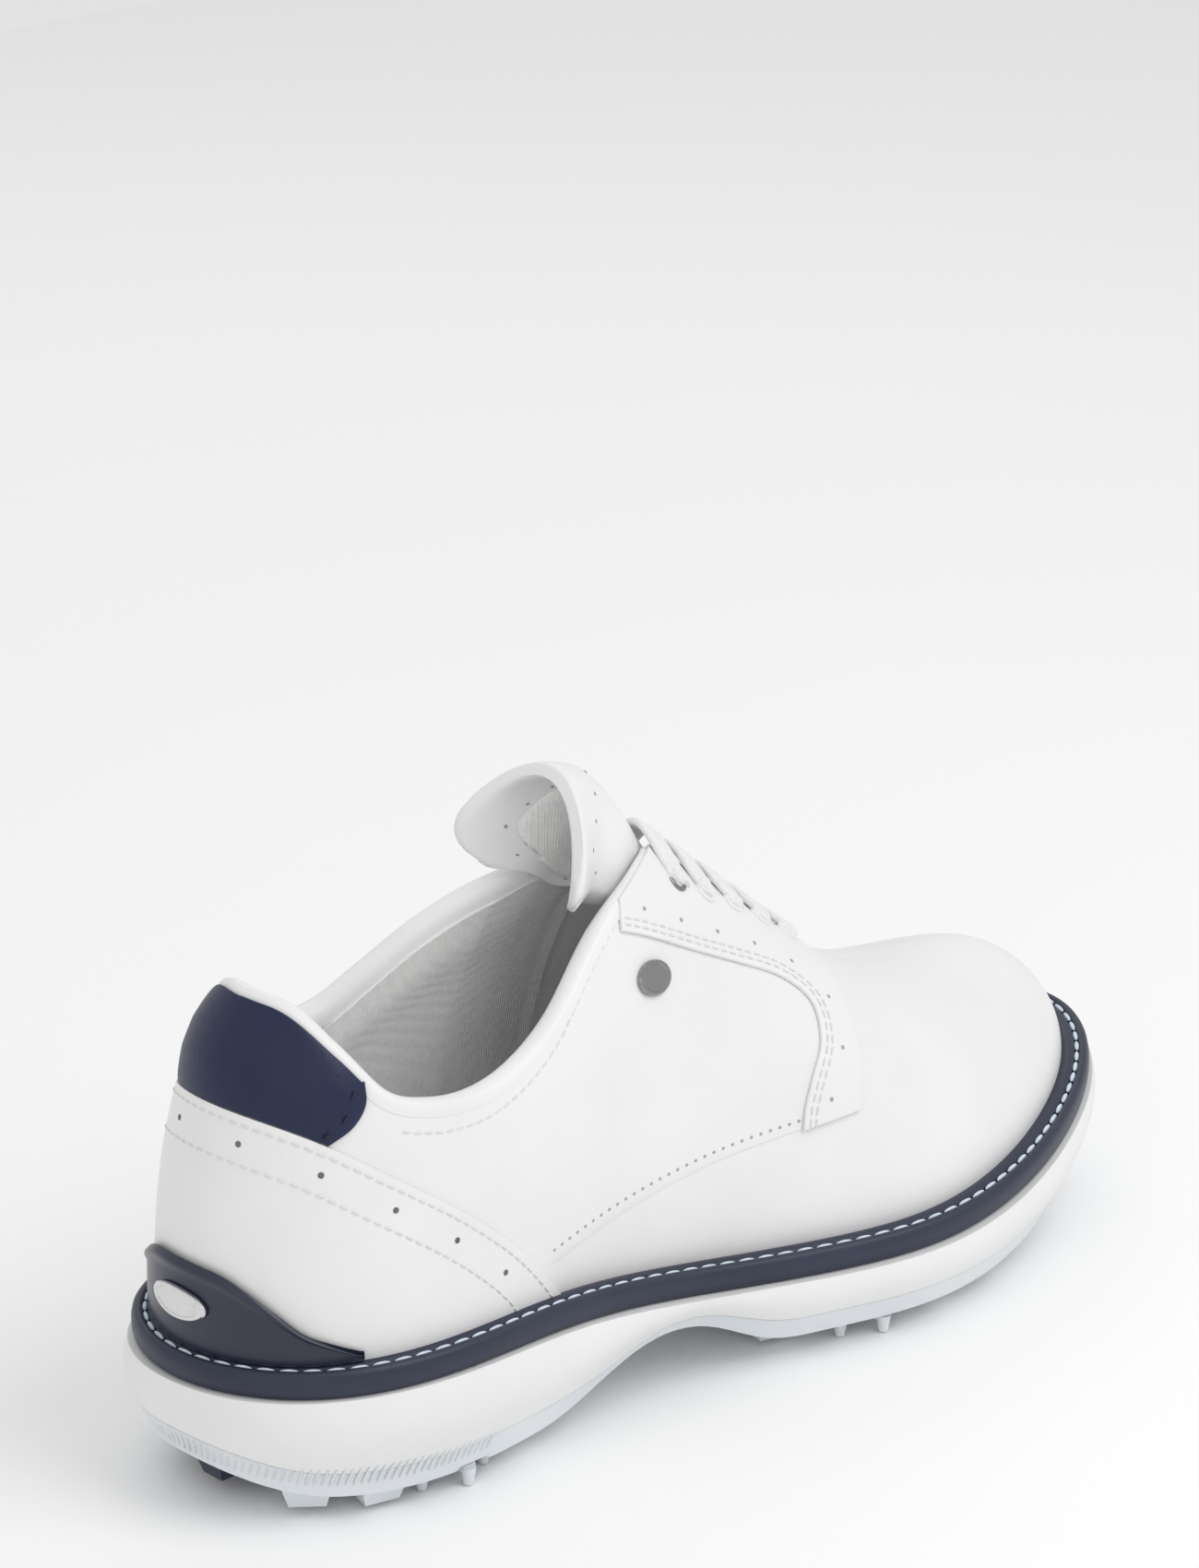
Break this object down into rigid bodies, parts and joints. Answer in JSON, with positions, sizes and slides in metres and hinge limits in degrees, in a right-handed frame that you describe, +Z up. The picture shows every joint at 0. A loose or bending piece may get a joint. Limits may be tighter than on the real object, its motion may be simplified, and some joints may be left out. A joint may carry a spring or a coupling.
{
  "type": "golf shoe",
  "caption": "Laced leather golf shoe for the right foot: stitched upper, padded collar and tongue, welted sole, lugs and screw-in cleats.",
  "frame": {"origin": "middle of the footprint's bounding box, on the ground", "axes": "+X towards the toe, +Y towards the medial side, +Z up"},
  "size_m": [0.3013, 0.1119, 0.151],
  "materials": {
    "outsole": "translucent white rubber",
    "navy_rubber": "matte navy rubber",
    "midsole": "satin white moulded foam",
    "steel": "plain spring steel",
    "navy_welt": "satin navy with pale stitches",
    "board": "stiff fibre board",
    "sockliner": "pale blue brushed fabric",
    "white_leather": "smooth white leather, soft sheen",
    "navy_leather": "navy grained leather",
    "lining": "off-white textured lining over foam",
    "navy_clip": "glossy navy moulding",
    "badge_metal": "dark polished metal",
    "eyelet_metal": "dark nickel",
    "lace": "white waxed cord",
    "socket": "moulded socket",
    "cleat": "clear and grey moulded stud"
  },
  "bodies": {
    "shoe": {"outsole": "outsole", "heel_outsole_pad": "navy_rubber", "midsole": "midsole", "shank": "steel", "welt": "navy_welt", "insole_board": "board", "sockliner": "sockliner", "vamp": "white_leather", "toe_puff": "board", "vamp_lining": "lining", "lateral_quarter": "white_leather", "medial_quarter": "white_leather", "lateral_facing": "white_leather", "medial_facing": "white_leather", "heel_foxing": "white_leather", "collar_tab": "navy_leather", "heel_counter": "board", "collar_foam": "lining", "quarter_lining": "lining", "collar_rim": "white_leather", "tongue_base": "white_leather", "heel_clip": "navy_clip", "heel_badge": "badge_metal", "side_badge": "badge_metal", "lateral_eyelets": "eyelet_metal", "medial_eyelets": "eyelet_metal", "lace": "lace", "cleat_sockets": "socket"},
    "tongue_head": {"tongue_top": "white_leather"},
    "cleat_heel_lateral_stud": {"cleat_heel_lateral": "cleat"},
    "cleat_heel_medial_stud": {"cleat_heel_medial": "cleat"},
    "cleat_waist_lateral_stud": {"cleat_waist_lateral": "cleat"},
    "cleat_ball_medial_stud": {"cleat_ball_medial": "cleat"},
    "cleat_front_medial_stud": {"cleat_front_medial": "cleat"},
    "cleat_toe_lateral_stud": {"cleat_toe_lateral": "cleat"},
    "cleat_toe_medial_stud": {"cleat_toe_medial": "cleat"}
  },
  "joints": [
    {"name": "tongue_tilt", "type": "hinge", "parent": "shoe", "child": "tongue_head", "pos_m": [-0.00766, 0, 0.13244], "axis": [0, 1, 0], "range_deg": [0, 12]},
    {"name": "cleat_heel_lateral_twist", "type": "hinge", "parent": "shoe", "child": "cleat_heel_lateral_stud", "pos_m": [-0.092, -0.023, 0.0066], "axis": [0, 0, 1], "range_deg": [0, 60]},
    {"name": "cleat_heel_medial_twist", "type": "hinge", "parent": "shoe", "child": "cleat_heel_medial_stud", "pos_m": [-0.092, 0.022, 0.0066], "axis": [0, 0, 1], "range_deg": [0, 60]},
    {"name": "cleat_waist_lateral_twist", "type": "hinge", "parent": "shoe", "child": "cleat_waist_lateral_stud", "pos_m": [0.034, -0.034, 0.0066], "axis": [0, 0, 1], "range_deg": [0, 60]},
    {"name": "cleat_ball_medial_twist", "type": "hinge", "parent": "shoe", "child": "cleat_ball_medial_stud", "pos_m": [0.029, 0.025, 0.0066], "axis": [0, 0, 1], "range_deg": [0, 60]},
    {"name": "cleat_front_medial_twist", "type": "hinge", "parent": "shoe", "child": "cleat_front_medial_stud", "pos_m": [0.07, 0.03, 0.0066], "axis": [0, 0, 1], "range_deg": [0, 60]},
    {"name": "cleat_toe_lateral_twist", "type": "hinge", "parent": "shoe", "child": "cleat_toe_lateral_stud", "pos_m": [0.102, -0.0175, 0.009], "axis": [0, 0, 1], "range_deg": [0, 60]},
    {"name": "cleat_toe_medial_twist", "type": "hinge", "parent": "shoe", "child": "cleat_toe_medial_stud", "pos_m": [0.109, 0.02, 0.009], "axis": [0, 0, 1], "range_deg": [0, 60]}
  ]
}
